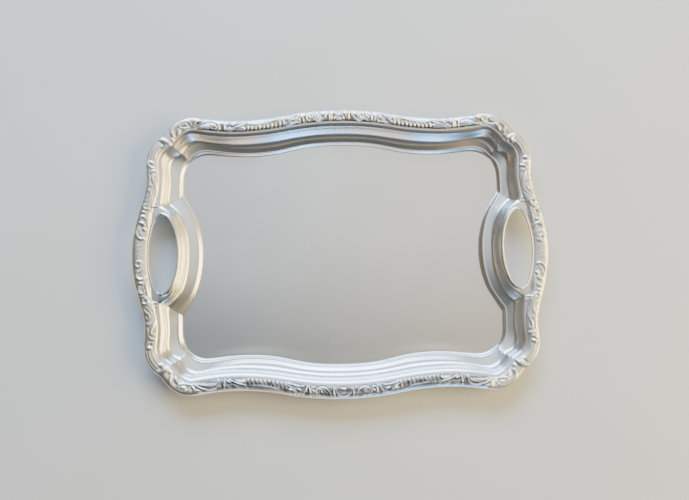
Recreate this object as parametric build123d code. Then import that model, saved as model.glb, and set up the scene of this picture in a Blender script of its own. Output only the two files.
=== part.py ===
from build123d import *
import math
import os

os.makedirs("parts", exist_ok=True)

# Rectangular serving tray with a scalloped outline and two hand slots.
# Frame: +Z up, X along the length, origin on the resting plane under the middle
# of the tray. Millimetres. The plan is symmetric about X and Y, so each plan
# curve is given for the quadrant x > 0, y > 0 and mirrored.
#
# Inset "s" is the distance from the outer edge towards the middle.

# ---- driving dimensions -------------------------------------------------
LENGTH = 460.0          # overall, across the two handle ends
WIDTH = 321.0           # overall, crest to crest of the long sides
SHEET = 1.2             # thickness of the drawn sheet
FLANGE_Z = 20.0         # top of the flange that carries the border
RIM_Z = 24.8            # crest of the applied border
BORDER_W = 14.0         # width of the applied border
LIP_T = 1.5             # thickness of the border's turned-down outer lip
LIP_Z = 18.4            # lowest level of that lip
SOLDER_GAP = 0.1        # joint between flange edge and border lip
S_W1 = 14.5             # inset of the top edge of the wall
S_W2 = 18.8             # inset of the head of the cove
SLOT_HALF = 43.4        # half length of a hand slot
SLOT_X0 = 180.4         # slot edge nearest the middle
SLOT_X1 = 212.0         # slot edge nearest the handle end
COLLAR_W = 3.0          # width of the bead round a hand slot
COLLAR_Z = 21.8         # crest of that bead
COLLAR_T = 0.7          # neck of the collar inside the slot
LONG_X = 152.0          # half length of the long border, where the corner mount starts
HANDLE_Y = 98.0         # half length of the handle border

# ---- outer edge, one quadrant -------------------------------------------
EDGE_A = [(0, 160.5), (14, 160.3), (28, 159.4), (42, 158.0), (56, 156.0), (70, 153.5),
          (84, 151.6), (98, 150.3), (112, 149.7), (126, 149.9), (140, 151.1), (152, 152.9),
          (162, 154.2), (170, 153.8), (177, 151.5), (183.5, 147.9), (189.5, 142.9),
          (194.3, 137.3), (197.4, 133.3)]
EDGE_B = [(197.4, 133.3), (201.4, 130.6), (205.8, 126.7), (209.9, 121.6), (213.2, 115.5),
          (215.2, 108.8), (215.9, 101.8), (215.4, 94.5), (214.8, 87.0), (214.9, 79.5),
          (216.1, 70.5), (218.3, 61.5), (221.1, 52.0), (223.9, 42.5), (226.4, 32.5),
          (228.4, 21.5), (229.6, 10.5), (230.0, 0.0)]

# stations on the outer edge, and the floor edge F and the ridge R at the same stations
A_X = [0, 21, 41, 60, 76, 91, 106.5, 125, 145, 162, 177, 188.5]
F_A = [(0, 125.7), (20, 125.2), (38, 123.4), (54, 120.3), (68, 117.2), (84, 114.9), (103, 113.9),
       (124, 114.8), (142, 116.8), (153.5, 117.3), (162.5, 115.0), (168.8, 111.3), (173.5, 107.0)]
R_A = [(0, 131.2), (20.3, 130.7), (38.6, 129.0), (55, 126.2), (69.5, 123.2), (85, 121.4), (103.5, 120.6),
       (124, 122.0), (142, 125.2), (154.5, 126.8), (164.5, 123.9), (171.3, 118.2), (174.5, 112.5)]
B_Y = [127, 118.5, 108.5, 97, 85, 73.5, 63.5]
F_B = [(173.5, 107.0), (176.8, 102.8), (179.3, 97.6), (180.8, 91.8), (181.4, 85.5), (181.5, 79.5),
       (181.5, 75.0), (181.6, 71.0), (181.5, 66.4)]
R_B = [(174.5, 112.5), (180.6, 110.9), (185.4, 107.2), (188.6, 101.0), (189.9, 92.5), (190.0, 83.0),
       (190.0, 75.0), (189.8, 67.0), (188.7, 59.3)]
B_EXTRA = [0, 0, 0, 0, 0, 0.2, 1.6]     # the wall draws in a little as it nears the slot
# round the hand slot, from the valley to the X axis
F_C = [F_B[-1], (177.4, 60.2), (172.3, 52.4), (167.0, 43.4), (162.5, 31.8), (159.1, 16.4), (157.9, 0)]
R_C = [R_B[-1], (185.7, 55.6), (181.2, 50.2), (176.4, 42.8), (172.4, 31.3), (170.1, 16.4), (169.5, 0)]
W2_C = [(197.5, 54.4), (192.9, 51.2), (188.0, 46.7), (183.5, 40.1), (179.2, 29.5), (176.1, 15.7), (174.9, 0)]
W1_C = [(201.4, 52.3), (195.5, 49.6), (190.0, 45.6), (185.4, 39.4), (180.9, 29.0), (177.7, 15.5), (176.4, 0)]

# hand slot, upper half, from the handle end round to the side nearest the middle
SLOT = [(SLOT_X1, 0), (211.7, 7.5), (210.9, 15.0), (209.5, 22.7), (207.4, 30.6), (204.9, 37.4),
        (202.0, 41.6), (198.3, SLOT_HALF), (194.4, 42.3), (190.2, 38.6), (186.7, 32.9),
        (183.9, 25.6), (181.9, 17.2), (180.8, 8.6), (SLOT_X0, 0)]

# wall: (plan key, height) from the floor to the flange.
# Plan keys: 0 = floor edge F, 1 = ridge R, 2 = head of cove W2, 3 = top edge W1.
WALL = [(-0.22, SHEET), (0.0, 2.3), (0.14, 3.9), (0.26, 4.4), (1.0, 6.2), (1.22, 6.8), (1.44, 8.0),
        (1.64, 10.0), (1.80, 12.4), (1.92, 15.0), (2.0, 17.6), (2.4, 19.3), (3.0, FLANGE_Z)]


def unit(x, y):
    d = math.hypot(x, y)
    return x / d, y / d


def spline(points, parameters=None, periodic=False):
    return Edge.make_spline([Vector(*p) for p in points], parameters=parameters, periodic=periodic)


def mirror_x(points):
    return [(-x, y) for x, y in points]


# full edges of the outline: the long side runs along +X, the handle end towards -Y
long_edge = spline([(-x, y) for x, y in reversed(EDGE_A)] + EDGE_A[1:])
end_edge = spline(EDGE_B + [(x, -y) for x, y in reversed(EDGE_B[:-1])])


def at(edge, t, inset=0.0):
    """Point on an edge of the outline, moved towards the middle."""
    p, d = edge.position_at(t), edge.tangent_at(t)
    nx, ny = unit(d.Y, -d.X)
    return p.X + nx * inset, p.Y + ny * inset


def find(edge, value, axis):
    lo, hi = (0.5, 1.0) if axis == "X" else (0.0, 0.5)
    for _ in range(50):
        mid = (lo + hi) / 2
        p = edge.position_at(mid)
        past = p.X > value if axis == "X" else p.Y < value
        lo, hi = (lo, mid) if past else (mid, hi)
    return (lo + hi) / 2


def notch(inset):
    """Mitre point at the corner notch."""
    d0, d1 = long_edge.tangent_at(1.0), end_edge.tangent_at(0.0)
    n0, n1 = unit(d0.Y, -d0.X), unit(d1.Y, -d1.X)
    b = unit(n0[0] + n1[0], n0[1] + n1[1])
    k = inset / (n0[0] * b[0] + n0[1] * b[1])
    return EDGE_A[-1][0] + b[0] * k, EDGE_A[-1][1] + b[1] * k


def inset_a(s):
    return [at(long_edge, find(long_edge, x, "X"), s) for x in A_X] + [notch(s)]


def inset_b(s, valley):
    return [notch(s)] + [at(end_edge, find(end_edge, y, "Y"), s + e) for y, e in zip(B_Y, B_EXTRA)] + [valley]


KEYS = [(F_A, F_B, F_C), (R_A, R_B, R_C), (inset_a(S_W2), inset_b(S_W2, W2_C[0]), W2_C),
        (inset_a(S_W1), inset_b(S_W1, W1_C[0]), W1_C)]


def plan(k):
    """Quadrant points of the plan curve at key k, between or just past the key curves."""
    i = min(max(int(math.floor(k)), 0), 2)
    f = k - i
    return [[(p[0] + (q[0] - p[0]) * f, p[1] + (q[1] - p[1]) * f) for p, q in zip(lo, hi)]
            for lo, hi in zip(KEYS[i], KEYS[i + 1])]


def even(n):
    return [i / (n - 1) for i in range(n)]


def ring(quadrant, z):
    """Closed wire of eight edges at height z."""
    a, b, c = quadrant
    top = [(-x, y) for x, y in reversed(a)] + a[1:]
    end = c + [(x, -y) for x, y in reversed(c[:-1])]
    sides = [top, b, end, [(x, -y) for x, y in reversed(b)],
             [(-x, -y) for x, y in top], [(-x, -y) for x, y in b],
             [(-x, -y) for x, y in end], [(-x, y) for x, y in reversed(b)]]
    return Wire([spline([(x, y, z) for x, y in s], even(len(s))) for s in sides])


def closed(points, z):
    """Closed wire through points at height z."""
    return Wire([spline([(x, y, z) for x, y in points], periodic=True)])


def slab(wire, height):
    return Solid.extrude(Face(wire), Vector(0, 0, height))


# ---- underside: the wall's own profile moved out by the sheet -------------
# Worked out station by station, since the wall is much steeper round the slots.
UNDER_Z = [0.0, 0.9, 1.7, 2.5, 3.1, 4.2, 5.0, 5.7, 7.0, 9.2, 11.8, 14.6, 17.0, FLANGE_Z - SHEET]


def under_points(f, r, w2, w1):
    """Plan points of the underside at each level of UNDER_Z, at one station."""
    key = [f, r, w2, w1]
    w = [math.dist(key[i], key[i + 1]) for i in range(3)]
    start = [0.0, w[0], w[0] + w[1]]
    prof = []
    for k, z in WALL:
        i = min(max(int(math.floor(k)), 0), 2)
        prof.append((start[i] + (k - i) * w[i], z))
    off = [(prof[0][0] - 5.0, 0.0)]
    for i, (s, z) in enumerate(prof):
        p, q = prof[max(i - 1, 0)], prof[min(i + 1, len(prof) - 1)]
        ds, dz = unit(q[0] - p[0], q[1] - p[1])
        off.append((s + dz * SHEET, max(z - ds * SHEET, 0.0)))
    out = []
    for level in UNDER_Z:
        best = None
        for (s0, z0), (s1, z1) in zip(off, off[1:]):
            if z0 <= level <= z1 and z1 > z0:
                s = s0 + (s1 - s0) * (level - z0) / (z1 - z0)
                best = s if best is None else max(best, s)
        s = off[-1][0] if best is None else best
        i = 0 if s < start[1] else 1 if s < start[2] else 2
        g = (s - start[i]) / w[i]
        out.append((key[i][0] + (key[i + 1][0] - key[i][0]) * g, key[i][1] + (key[i + 1][1] - key[i][1]) * g))
    return out


UNDER = [[under_points(*stations) for stations in zip(*[key[j] for key in KEYS])] for j in range(3)]


# ---- tray pan -------------------------------------------------------------
cavity = Solid.make_loft([ring(plan(k), z) for k, z in WALL], ruled=True)
shell = Solid.make_loft([ring([[st[i] for st in side] for side in UNDER], z) for i, z in enumerate(UNDER_Z)], ruled=True)

n = 56
rim = [at(long_edge, i / n, LIP_T + SOLDER_GAP) for i in range(1, n)]
m = 44
endp = [at(end_edge, i / m, LIP_T + SOLDER_GAP) for i in range(1, m)]
c0 = notch(LIP_T + SOLDER_GAP)


def outline(z):
    top = [(-c0[0], c0[1])] + rim + [c0]
    end = [c0] + endp + [(c0[0], -c0[1])]
    sides = [top, end, [(-x, -y) for x, y in top], [(-x, -y) for x, y in end]]
    return Wire([spline([(x, y, z) for x, y in s]) for s in sides])


flange = slab(outline(FLANGE_Z - SHEET), SHEET)

slot_full = SLOT + [(x, -y) for x, y in reversed(SLOT[1:-1])]
slot_edge = Edge.make_spline([Vector(x, y) for x, y in slot_full], periodic=True)


def slot_at(t, out):
    """Point round the hand slot, moved away from the slot's middle."""
    p, d = slot_edge.position_at(t % 1.0), slot_edge.tangent_at(t % 1.0)
    nx, ny = unit(d.Y, -d.X)
    return p.X + nx * out, p.Y + ny * out


def slot_cut(side):
    pts = [slot_at(i / 48, COLLAR_T + 0.05) for i in range(48)]
    return slab(closed([(side * x, y) for x, y in (pts if side > 0 else reversed(pts))], 10.0), 16.0)


pan = (flange + shell) - cavity - slot_cut(1) - slot_cut(-1)
pan = pan.solids().sort_by(SortBy.VOLUME)[-1]

# ---- applied border -------------------------------------------------------
# Cross-section as (inset, height): a dome on the flange with a lip turned down
# over the flange's edge.
DOME = [(0.0, 20.4), (0.5, 22.2), (2.2, 23.7), (4.8, 24.5), (7.6, RIM_Z), (10.4, 24.1), (12.6, 22.4), (13.8, 20.6)]


def section(origin, normal, scale=1.0):
    """Closed wire of the border's cross-section at a point of the outer edge."""
    def p(s, z):
        return Vector(origin[0] + normal[0] * s * scale, origin[1] + normal[1] * s * scale, z)
    pts = [p(*q) for q in DOME]
    low = [p(BORDER_W, FLANGE_Z), p(LIP_T, FLANGE_Z), p(LIP_T, LIP_Z), p(0.0, LIP_Z)]
    chain = [pts[-1]] + low + [pts[0]]
    return Wire([Edge.make_spline(pts, parameters=even(len(pts)))]
                + [Edge.make_line(chain[i], chain[i + 1]) for i in range(len(chain) - 1)])


def run(edge, t0, t1, count, mitre_start=False, mitre_end=False):
    """Loft of the border along part of the outer edge."""
    d0, d1 = long_edge.tangent_at(1.0), end_edge.tangent_at(0.0)
    n0, n1 = unit(d0.Y, -d0.X), unit(d1.Y, -d1.X)
    b = unit(n0[0] + n1[0], n0[1] + n1[1])
    k = 1 / (n0[0] * b[0] + n0[1] * b[1])
    wires = []
    for i in range(count):
        t = t0 + (t1 - t0) * i / (count - 1)
        p, d = edge.position_at(t), edge.tangent_at(t)
        normal, scale = unit(d.Y, -d.X), 1.0
        if (i == 0 and mitre_start) or (i == count - 1 and mitre_end):
            normal, scale = b, k
        wires.append(section((p.X, p.Y), normal, scale))
    return Solid.make_loft(wires, ruled=False)


t_long = find(long_edge, LONG_X, "X")
t_end = find(end_edge, HANDLE_Y, "Y")
long_border = run(long_edge, 1 - t_long, t_long, 41)
end_border = run(end_edge, t_end, 1 - t_end, 33)
corner = run(long_edge, t_long, 1.0, 15, mitre_end=True) + run(end_edge, 0.0, t_end, 13, mitre_start=True)
corner = corner.solids()[0]

# ---- collar round each hand slot -------------------------------------------
BEAD = [(0.0, FLANGE_Z + 0.5), (0.25, 21.2), (0.8, 21.65), (1.5, COLLAR_Z), (2.2, 21.6), (2.75, 21.0), (COLLAR_W, 20.3)]


def collar_section(t, side):
    def p(out, z):
        x, y = slot_at(t, out)
        return Vector(side * x, y, z)
    pts = [p(*q) for q in BEAD]
    chain = [pts[-1], p(COLLAR_W, FLANGE_Z), p(COLLAR_T, FLANGE_Z), p(COLLAR_T, 17.8), p(0.0, 17.8), pts[0]]
    return Wire([Edge.make_spline(pts, parameters=even(len(pts)))]
                + [Edge.make_line(chain[i], chain[i + 1]) for i in range(len(chain) - 1)])


def collar(side):
    halves = [Solid.make_loft([collar_section(a + i / 56, side) for i in range(29)], ruled=False)
              for a in (0.0, 0.5)]
    return (halves[0] + halves[1]).solids()[0]


ABOUT_X, ABOUT_Y = Plane.XZ, Plane.YZ
corner_fr = corner.mirror(ABOUT_X)
nodes = {
    "tray_pan": pan,
    "long_border_back": long_border,
    "long_border_front": long_border.mirror(ABOUT_X),
    "handle_border_right": end_border,
    "handle_border_left": end_border.mirror(ABOUT_Y),
    "corner_mount_back_right": corner,
    "corner_mount_front_right": corner_fr,
    "corner_mount_back_left": corner.mirror(ABOUT_Y),
    "corner_mount_front_left": corner_fr.mirror(ABOUT_Y),
    "slot_collar_right": collar(1),
    "slot_collar_left": collar(1).mirror(ABOUT_Y),
}
for name, shape in nodes.items():
    export_step(shape, f"parts/{name}.step")
    b = shape.bounding_box()
    print(name, "valid", shape.is_valid, "cm3", round(shape.volume / 1000, 2),
          [round(v, 1) for v in (b.min.X, b.min.Y, b.min.Z, b.max.X, b.max.Y, b.max.Z)])
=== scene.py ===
import math

import bpy
import numpy as np
from mathutils import Matrix, Vector
from mathutils.geometry import delaunay_2d_cdt


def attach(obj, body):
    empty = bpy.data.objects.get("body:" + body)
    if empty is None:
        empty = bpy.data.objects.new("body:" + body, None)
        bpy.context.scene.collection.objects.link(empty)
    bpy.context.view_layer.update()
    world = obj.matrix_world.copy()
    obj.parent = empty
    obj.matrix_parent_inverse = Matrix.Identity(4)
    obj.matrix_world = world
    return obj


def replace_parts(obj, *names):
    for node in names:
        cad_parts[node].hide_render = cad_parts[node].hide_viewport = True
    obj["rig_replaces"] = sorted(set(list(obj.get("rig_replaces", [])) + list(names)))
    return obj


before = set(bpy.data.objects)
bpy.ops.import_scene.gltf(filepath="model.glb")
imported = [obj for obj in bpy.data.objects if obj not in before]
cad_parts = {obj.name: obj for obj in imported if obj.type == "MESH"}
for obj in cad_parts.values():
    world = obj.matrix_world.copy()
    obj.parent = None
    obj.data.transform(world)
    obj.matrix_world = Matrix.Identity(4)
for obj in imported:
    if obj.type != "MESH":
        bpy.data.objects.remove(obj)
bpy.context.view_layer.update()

# All lengths below are millimetres until a mesh is made.
MM = 0.001

# ---------------------------------------------------------------- plan curves
# The same quadrant curves as the CAD source.
EDGE_A = [(0, 160.5), (14, 160.3), (28, 159.4), (42, 158.0), (56, 156.0), (70, 153.5),
          (84, 151.6), (98, 150.3), (112, 149.7), (126, 149.9), (140, 151.1), (152, 152.9),
          (162, 154.2), (170, 153.8), (177, 151.5), (183.5, 147.9), (189.5, 142.9),
          (194.3, 137.3), (197.4, 133.3)]
EDGE_B = [(197.4, 133.3), (201.4, 130.6), (205.8, 126.7), (209.9, 121.6), (213.2, 115.5),
          (215.2, 108.8), (215.9, 101.8), (215.4, 94.5), (214.8, 87.0), (214.9, 79.5),
          (216.1, 70.5), (218.3, 61.5), (221.1, 52.0), (223.9, 42.5), (226.4, 32.5),
          (228.4, 21.5), (229.6, 10.5), (230.0, 0.0)]
A_X = [0, 21, 41, 60, 76, 91, 106.5, 125, 145, 162, 177, 188.5]
F_A = [(0, 125.7), (20, 125.2), (38, 123.4), (54, 120.3), (68, 117.2), (84, 114.9), (103, 113.9),
       (124, 114.8), (142, 116.8), (153.5, 117.3), (162.5, 115.0), (168.8, 111.3), (173.5, 107.0)]
R_A = [(0, 131.2), (20.3, 130.7), (38.6, 129.0), (55, 126.2), (69.5, 123.2), (85, 121.4), (103.5, 120.6),
       (124, 122.0), (142, 125.2), (154.5, 126.8), (164.5, 123.9), (171.3, 118.2), (174.5, 112.5)]
B_Y = [127, 118.5, 108.5, 97, 85, 73.5, 63.5]
F_B = [(173.5, 107.0), (176.8, 102.8), (179.3, 97.6), (180.8, 91.8), (181.4, 85.5), (181.5, 79.5),
       (181.5, 75.0), (181.6, 71.0), (181.5, 66.4)]
R_B = [(174.5, 112.5), (180.6, 110.9), (185.4, 107.2), (188.6, 101.0), (189.9, 92.5), (190.0, 83.0),
       (190.0, 75.0), (189.8, 67.0), (188.7, 59.3)]
B_EXTRA = [0, 0, 0, 0, 0, 0.2, 1.6]
F_C = [F_B[-1], (177.4, 60.2), (172.3, 52.4), (167.0, 43.4), (162.5, 31.8), (159.1, 16.4), (157.9, 0)]
R_C = [R_B[-1], (185.7, 55.6), (181.2, 50.2), (176.4, 42.8), (172.4, 31.3), (170.1, 16.4), (169.5, 0)]
W2_C = [(197.5, 54.4), (192.9, 51.2), (188.0, 46.7), (183.5, 40.1), (179.2, 29.5), (176.1, 15.7), (174.9, 0)]
W1_C = [(201.4, 52.3), (195.5, 49.6), (190.0, 45.6), (185.4, 39.4), (180.9, 29.0), (177.7, 15.5), (176.4, 0)]
SLOT = [(212.0, 0), (211.7, 7.5), (210.9, 15.0), (209.5, 22.7), (207.4, 30.6), (204.9, 37.4),
        (202.0, 41.6), (198.3, 43.4), (194.4, 42.3), (190.2, 38.6), (186.7, 32.9),
        (183.9, 25.6), (181.9, 17.2), (180.8, 8.6), (180.4, 0)]
S_W1, S_W2 = 14.5, 18.8
SHEET, FLANGE = 1.2, 20.0
LONG_X, HANDLE_Y = 152.0, 98.0


def cubic(points, n, closed=False, uniform=False):
    """n points on an interpolating cubic spline, evenly spaced in its parameter."""
    P = np.array(points, float)
    if closed:
        P = np.vstack([P, P[:1]])
    m = len(P)
    t = np.arange(m, dtype=float) if uniform else np.concatenate(
        [[0], np.cumsum(np.linalg.norm(np.diff(P, axis=0), axis=1))])
    h = np.diff(t)
    A, B = np.zeros((m, m)), np.zeros((m, P.shape[1]))
    for i in range(1, m - 1):
        A[i, i - 1], A[i, i], A[i, i + 1] = h[i - 1], 2 * (h[i - 1] + h[i]), h[i]
        B[i] = 6 * ((P[i + 1] - P[i]) / h[i] - (P[i] - P[i - 1]) / h[i - 1])
    if closed:
        A[0, 0], A[0, -1] = 1, -1
        A[-1, 0], A[-1, 1], A[-1, -1], A[-1, -2] = 2 * h[0], h[0], 2 * h[-1], h[-1]
        B[-1] = 6 * ((P[1] - P[0]) / h[0] - (P[-1] - P[-2]) / h[-1])
    else:
        A[0, 0] = A[-1, -1] = 1
    M = np.linalg.solve(A, B)
    T = np.linspace(0, t[-1], n)
    k = np.clip(np.searchsorted(t, T, side="right") - 1, 0, m - 2)
    a, b, hh = (t[k + 1] - T)[:, None], (T - t[k])[:, None], h[k][:, None]
    return (M[k] * a ** 3 + M[k + 1] * b ** 3) / (6 * hh) + (P[k] / hh - M[k] * hh / 6) * a \
        + (P[k + 1] / hh - M[k + 1] * hh / 6) * b


def arc(C):
    return np.concatenate([[0], np.cumsum(np.linalg.norm(np.diff(C, axis=0), axis=1))])


def at(C, s, S):
    """Points at arc lengths S on the dense curve C whose arc lengths are s."""
    return np.stack([np.interp(S, s, C[:, j]) for j in range(C.shape[1])], 1)


class Edge:
    """Outer edge of one side: points, inward directions, and the arc length from its middle."""

    def __init__(self, points):
        self.C = cubic(points, 6000)
        s = arc(self.C)
        self.half = s[-1] / 2
        self.s = s - self.half
        T = np.gradient(self.C, self.s, axis=0)
        T /= np.linalg.norm(T, axis=1, keepdims=True)
        self.N = np.stack([T[:, 1], -T[:, 0]], 1)

    def point(self, u):
        return at(self.C, self.s, u)

    def normal(self, u):
        n = at(self.N, self.s, u)
        return n / np.linalg.norm(n, axis=1, keepdims=True)


long_edge = Edge([(-x, y) for x, y in reversed(EDGE_A)] + EDGE_A[1:])
end_edge = Edge(EDGE_B + [(x, -y) for x, y in reversed(EDGE_B[:-1])])
n0, n1 = long_edge.N[-1], end_edge.N[0]
bis = (n0 + n1) / np.linalg.norm(n0 + n1)
MITRE = bis / float(n0 @ bis)       # inset of 1 mm along the corner notch's mitre
NOTCH = np.array(EDGE_A[-1])


def inset(edge, u, w):
    """Points at inset w; columns lean over to the mitre line near a corner notch."""
    u = np.asarray(u, float)
    n = edge.normal(u)
    near = np.clip(1 - (edge.half - np.abs(u)) / 9.0, 0, 1)
    near = (near * near * (3 - 2 * near))[:, None]
    m = np.repeat(MITRE[None], len(u), 0)
    if edge is long_edge:
        m[u < 0, 0] *= -1
    else:
        m[u > 0, 1] *= -1
    d = n * (1 - near) + m * near
    return edge.point(u) + d * np.reshape(w, (-1, 1))


u_at_x = lambda x: float(np.interp(x, long_edge.C[:, 0], long_edge.s))
u_at_y = lambda y: float(np.interp(y, end_edge.C[::-1, 1], end_edge.s[::-1]))


def key_sides():
    def side_a(s):
        u = np.array([u_at_x(x) for x in A_X])
        return [tuple(p) for p in long_edge.point(u) + long_edge.normal(u) * s] + [tuple(NOTCH + MITRE * s)]

    def side_b(s, valley):
        u = np.array([u_at_y(y) for y in B_Y])
        w = s + np.array(B_EXTRA)[:, None]
        return [tuple(NOTCH + MITRE * s)] + [tuple(p) for p in end_edge.point(u) + end_edge.normal(u) * w] + [valley]

    return [(F_A, F_B, F_C), (R_A, R_B, R_C), (side_a(S_W2), side_b(S_W2, W2_C[0]), W2_C),
            (side_a(S_W1), side_b(S_W1, W1_C[0]), W1_C)]


def full_ring(a, b, c, na=236, nb=56, nc=84):
    """Closed ring of points from a quadrant's three sides (clockwise from the upper left)."""
    top = cubic([(-x, y) for x, y in reversed(a)] + list(a[1:]), na, uniform=True)
    sb = cubic(b, nb, uniform=True)
    sc = cubic(list(c) + [(x, -y) for x, y in reversed(c[:-1])], nc, uniform=True)
    flip_x, flip_y = np.array([-1, 1]), np.array([1, -1])
    sides = [top, sb, sc, (sb * flip_y)[::-1], -top, -sb, -sc, (sb * flip_x)[::-1]]
    return np.vstack([s[:-1] for s in sides])


KEYS = [full_ring(*k) for k in key_sides()]
NR = len(KEYS[0])


def plan(k):
    i = int(min(max(math.floor(k), 0), 2))
    return KEYS[i] + (KEYS[i + 1] - KEYS[i]) * (k - i)


# ------------------------------------------------------------------- meshes
def smooth(x, a, b):
    t = np.clip((np.asarray(x, float) - a) / (b - a), 0, 1)
    return t * t * (3 - 2 * t)


def build(name, verts, faces, attributes=None, sharp=60, replaces=(), material=None):
    """A mesh object from vertices in millimetres and faces given as index arrays of 3 or 4 columns."""
    me = bpy.data.meshes.new(name)
    me.vertices.add(len(verts))
    me.vertices.foreach_set("co", (np.asarray(verts, float) * MM).astype(np.float32).ravel())
    loops = np.concatenate([f.ravel() for f in faces]).astype(np.int32)
    counts = np.concatenate([np.full(len(f), f.shape[1]) for f in faces]).astype(np.int32)
    me.loops.add(len(loops))
    me.loops.foreach_set("vertex_index", loops)
    me.polygons.add(len(counts))
    me.polygons.foreach_set("loop_start", np.concatenate([[0], np.cumsum(counts)[:-1]]).astype(np.int32))
    me.polygons.foreach_set("loop_total", counts)
    me.polygons.foreach_set("use_smooth", np.ones(len(counts), bool))
    me.update(calc_edges=True)
    me.validate()
    for key, values in (attributes or {}).items():
        me.attributes.new(key, "FLOAT", "POINT").data.foreach_set("value", np.asarray(values, np.float32))
    me.set_sharp_from_angle(angle=math.radians(sharp))
    ob = bpy.data.objects.new(name, me)
    bpy.context.scene.collection.objects.link(ob)
    if material:
        me.materials.append(material)
    if replaces:
        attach(ob, "root")
        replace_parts(ob, *replaces)
    return ob


def grid_faces(rows, cols, wrap_rows=False, wrap_cols=False, flip=False, offset=0):
    r = np.arange(rows if wrap_rows else rows - 1)
    c = np.arange(cols if wrap_cols else cols - 1)
    R, C = np.meshgrid(r, c, indexing="ij")
    R2, C2 = (R + 1) % rows, (C + 1) % cols
    q = np.stack([R * cols + C, R * cols + C2, R2 * cols + C2, R2 * cols + C], -1).reshape(-1, 4)
    return (q[:, ::-1] if flip else q) + offset


# ------------------------------------------------------- relief of the border
class Strokes:
    """Raised and sunk strokes laid on the border, each a curve in plan with a radius and height."""

    def __init__(self):
        self.items = []

    def add(self, xy, r, h, power=0.75):
        self.items.append((np.asarray(xy, float), np.asarray(r, float), np.asarray(h, float), power))

    def field(self, P):
        """Height and depth of the relief at points P (n x 2)."""
        up, down = np.zeros(len(P)), np.zeros(len(P))
        for xy, r, h, power in self.items:
            m = r.max()
            near = np.nonzero((P[:, 0] > xy[:, 0].min() - m) & (P[:, 0] < xy[:, 0].max() + m)
                              & (P[:, 1] > xy[:, 1].min() - m) & (P[:, 1] < xy[:, 1].max() + m))[0]
            if not len(near):
                continue
            Q = P[near]
            best = np.zeros(len(near))
            for a, b, ra, rb, ha, hb in zip(xy[:-1], xy[1:], r[:-1], r[1:], h[:-1], h[1:]):
                d = b - a
                L = float(d @ d) + 1e-9
                t = np.clip(((Q - a) @ d) / L, 0, 1)
                dist = np.linalg.norm(Q - a - t[:, None] * d, axis=1)
                rr, hh = ra + (rb - ra) * t, ha + (hb - ha) * t
                v = np.abs(hh) * np.clip(1 - (dist / rr) ** 2, 0, 1) ** power
                best = np.maximum(best, v)
            if h.max() > 0:
                up[near] += best ** 3
            else:
                down[near] = np.maximum(down[near], best)
        return np.minimum(up ** (1 / 3), 2.3), down


def taper(n, values):
    return np.interp(np.linspace(0, 1, n), np.linspace(0, 1, len(values)), values)


def stroke(st, edge, pts, r, h, sign=1):
    """A stroke through (u, w) points on one side. sign -1 mirrors it about the side's middle."""
    pts = np.asarray(pts, float)
    r, h = np.atleast_1d(r).astype(float), np.atleast_1d(h).astype(float)
    short = len(pts) <= 2 and r.max() >= 1.3
    if edge is end_edge:
        r, h, power = r * 1.06, h * (0.62 if short else 0.46), 1.1
    else:
        r, h, power = r * 1.08, h * (0.8 if short else 0.66), 1.0
    if len(pts) == 1:
        pts = np.vstack([pts, pts + [0.01, 0]])
    n = max(2, int(arc(pts)[-1] / 0.5) + 2)
    q = cubic(pts, n) if len(pts) > 2 else np.stack([np.linspace(pts[0, j], pts[1, j], n) for j in (0, 1)], 1)
    xy = inset(edge, sign * q[:, 0], q[:, 1])
    st.add(xy, taper(n, np.atleast_1d(r)), taper(n, np.atleast_1d(h)), power)


def spiral(u, w, r, turns, start, way=1, end=0.25):
    """Points of a spiral about (u, w), from radius r inwards; start in degrees."""
    n = int(12 * turns) + 4
    a = math.radians(start) + way * np.linspace(0, 2 * math.pi * turns, n)
    rr = r * (1 - (1 - end) * np.linspace(0, 1, n) ** 0.9)
    return np.stack([u + rr * np.cos(a), w + rr * np.sin(a)], 1)


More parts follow.
